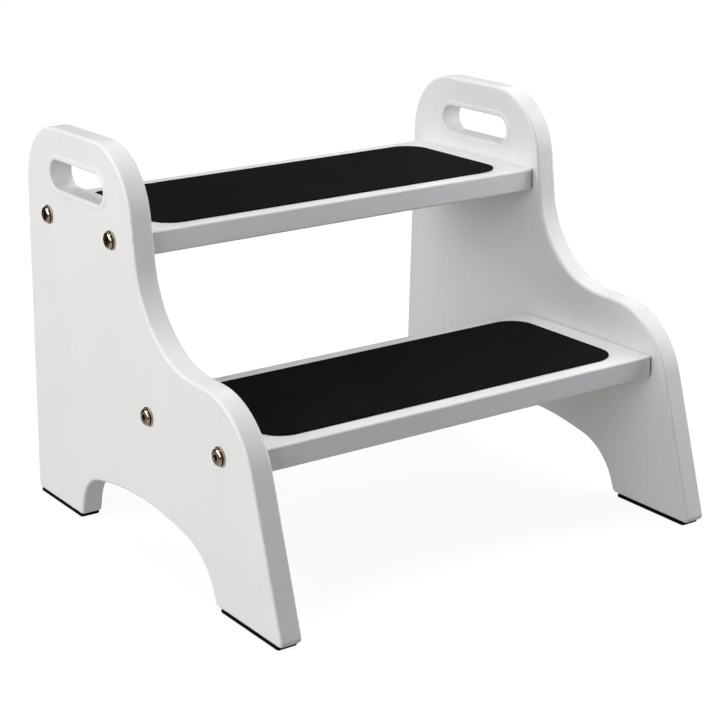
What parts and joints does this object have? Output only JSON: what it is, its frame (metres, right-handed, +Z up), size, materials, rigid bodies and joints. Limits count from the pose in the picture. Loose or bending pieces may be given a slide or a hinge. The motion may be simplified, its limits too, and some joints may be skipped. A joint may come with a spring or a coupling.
{
  "type": "step stool",
  "caption": "Step stool whose slotted side panels carry bolted treads with non-slip pads, on padded feet.",
  "frame": {"origin": "on the floor at the middle of the stool's bounding box", "axes": "+X along the treads, from the left side panel to the right as seen from the front; the front faces -Y; +Z up"},
  "size_m": [0.408, 0.3847, 0.321],
  "materials": {
    "white_paint": "satin white paint on 18 mm board",
    "black_mat": "matt black non-slip mat with a fine texture",
    "black_foam_rubber": "matt black foam rubber strip",
    "antique_brass": "antique brass plating, polished",
    "dark_bronze": "dark bronze plating",
    "zinc": "bright zinc plating"
  },
  "bodies": {
    "root": {"left_side_panel": "white_paint", "right_side_panel": "white_paint", "upper_tread": "white_paint", "upper_tread_pad": "black_mat", "lower_tread": "white_paint", "lower_tread_pad": "black_mat", "left_front_foot_pad": "black_foam_rubber", "left_rear_foot_pad": "black_foam_rubber", "left_upper_front_bolt": "antique_brass", "left_upper_front_washer": "dark_bronze", "left_upper_front_barrel_nut": "zinc", "left_upper_rear_bolt": "antique_brass", "left_upper_rear_washer": "dark_bronze", "left_upper_rear_barrel_nut": "zinc", "left_lower_front_bolt": "antique_brass", "left_lower_front_washer": "dark_bronze", "left_lower_front_barrel_nut": "zinc", "left_lower_rear_bolt": "antique_brass", "left_lower_rear_washer": "dark_bronze", "left_lower_rear_barrel_nut": "zinc", "right_front_foot_pad": "black_foam_rubber", "right_rear_foot_pad": "black_foam_rubber", "right_upper_front_bolt": "antique_brass", "right_upper_front_washer": "dark_bronze", "right_upper_front_barrel_nut": "zinc", "right_upper_rear_bolt": "antique_brass", "right_upper_rear_washer": "dark_bronze", "right_upper_rear_barrel_nut": "zinc", "right_lower_front_bolt": "antique_brass", "right_lower_front_washer": "dark_bronze", "right_lower_front_barrel_nut": "zinc", "right_lower_rear_bolt": "antique_brass", "right_lower_rear_washer": "dark_bronze", "right_lower_rear_barrel_nut": "zinc"}
  },
  "joints": []
}
